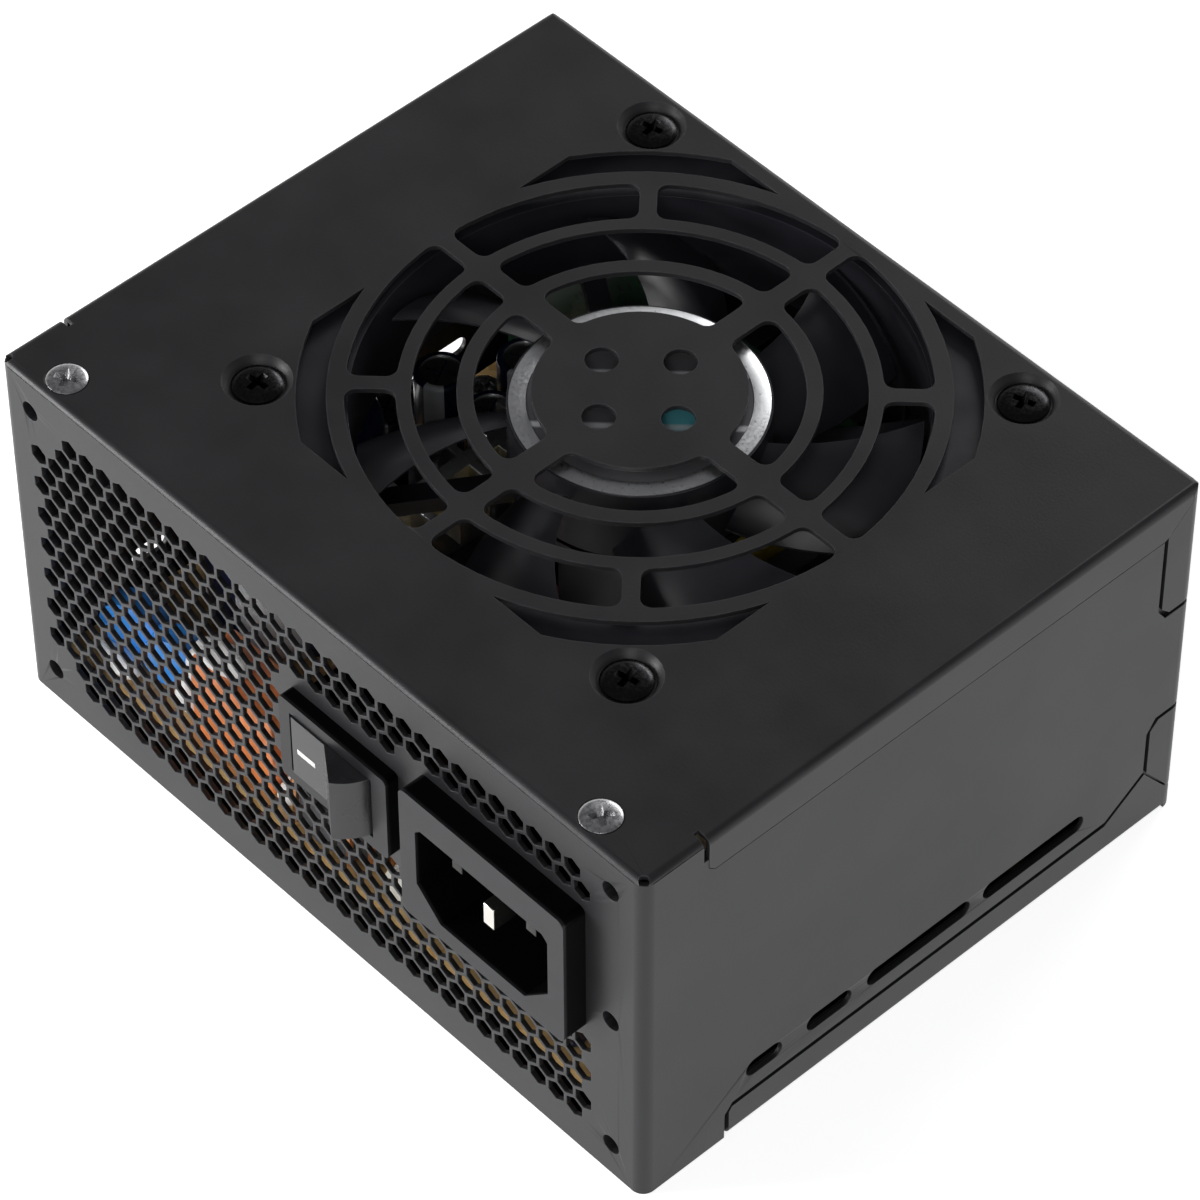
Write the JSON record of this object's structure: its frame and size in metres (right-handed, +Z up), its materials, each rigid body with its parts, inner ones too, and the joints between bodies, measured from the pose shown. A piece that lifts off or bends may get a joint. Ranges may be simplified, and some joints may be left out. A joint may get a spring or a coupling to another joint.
{
  "type": "power supply unit",
  "caption": "Small form factor computer power supply: folded black steel case with a fan grille on top, a vented panel with mains inlet and rocker switch, and modular output sockets behind.",
  "frame": {"origin": "centre of the underside", "axes": "+X to the right seen from the mains inlet panel with the fan up, -Y out of the inlet panel, +Z up through the fan"},
  "size_m": [0.125, 0.1063, 0.0638],
  "materials": {
    "case_paint": "satin black powder paint on sheet steel",
    "cover_paint": "satin black powder paint on sheet steel",
    "bright_screw": "zinc plated",
    "black_screw": "gloss black oxide",
    "black_plastic": "fine moulded texture",
    "fan_plastic": "satin moulded",
    "rocker_plastic": "moulded",
    "label": "printed foil label",
    "steel": "ground",
    "magnet": "bonded ferrite",
    "brass": "plated",
    "pin_metal": "nickel plated",
    "copper_wire": "enamelled copper",
    "green_board": "solder mask",
    "brown_board": "paper laminate",
    "wire_jacket": "PVC",
    "earth_jacket": "PVC",
    "white_nylon": "nylon",
    "film": "polyester film",
    "orange_case": "epoxy",
    "blue_disc": "epoxy dipped",
    "ferrite": "ferrite",
    "yellow_core": "coated iron powder",
    "ceramic": "glazed ceramic",
    "dark_disc": "epoxy dipped",
    "package": "moulded epoxy",
    "aluminium": "extruded",
    "capacitor_sleeve": "shrink sleeve",
    "tape": "polyester tape"
  },
  "bodies": {
    "case": {"chassis_shell": "case_paint", "top_cover": "cover_paint", "base_tray": "case_paint", "cover_screws": "bright_screw", "base_screws": "black_screw", "fan_screws": "black_screw", "fan_frame": "fan_plastic", "fan_bearing": "brass", "fan_stator": "steel", "fan_coils": "copper_wire", "fan_circuit": "green_board", "fan_lead": "wire_jacket", "fan_plug": "white_nylon", "inlet_housing": "black_plastic", "inlet_pins": "pin_metal", "inlet_leads": "earth_jacket", "switch_housing": "black_plastic", "switch_contact": "brass", "switch_terminals": "pin_metal", "insulation_sheet": "film", "standoffs": "brass", "board_screws": "bright_screw", "main_board": "brown_board", "x_capacitor": "orange_case", "y_capacitors": "blue_disc", "filter_choke_core": "ferrite", "filter_choke_windings": "copper_wire", "fuse": "ceramic", "thermistor": "dark_disc", "rectifier": "package", "rectifier_heatsink": "aluminium", "boost_choke_core": "yellow_core", "boost_choke_winding": "copper_wire", "bulk_capacitor": "capacitor_sleeve", "primary_heatsink": "aluminium", "primary_transistors": "package", "transformer_core": "ferrite", "transformer_winding": "tape", "standby_transformer": "tape", "secondary_heatsink": "aluminium", "secondary_transistors": "package", "output_choke_core": "yellow_core", "output_choke_winding": "copper_wire", "output_capacitors": "capacitor_sleeve", "control_board": "green_board", "socket_board": "green_board", "board_bars": "copper_wire", "main_socket": "black_plastic", "processor_socket": "black_plastic", "graphics_socket_pair": "black_plastic", "peripheral_socket_set": "black_plastic", "socket_pins": "brass"},
    "fan": {"fan_rotor": "fan_plastic", "fan_label": "label", "fan_shaft": "steel", "fan_magnet": "magnet"},
    "rocker": {"switch_rocker": "rocker_plastic"}
  },
  "joints": [
    {"name": "fan_spin", "type": "hinge", "parent": "case", "child": "fan", "pos_m": [0, 0.008, 0.055], "axis": [0, 0, 1], "continuous": true},
    {"name": "rocker_tip", "type": "hinge", "parent": "case", "child": "rocker", "pos_m": [0.0056, -0.0499, 0.038], "axis": [0, 0, 1], "range_deg": [0, 36]}
  ]
}
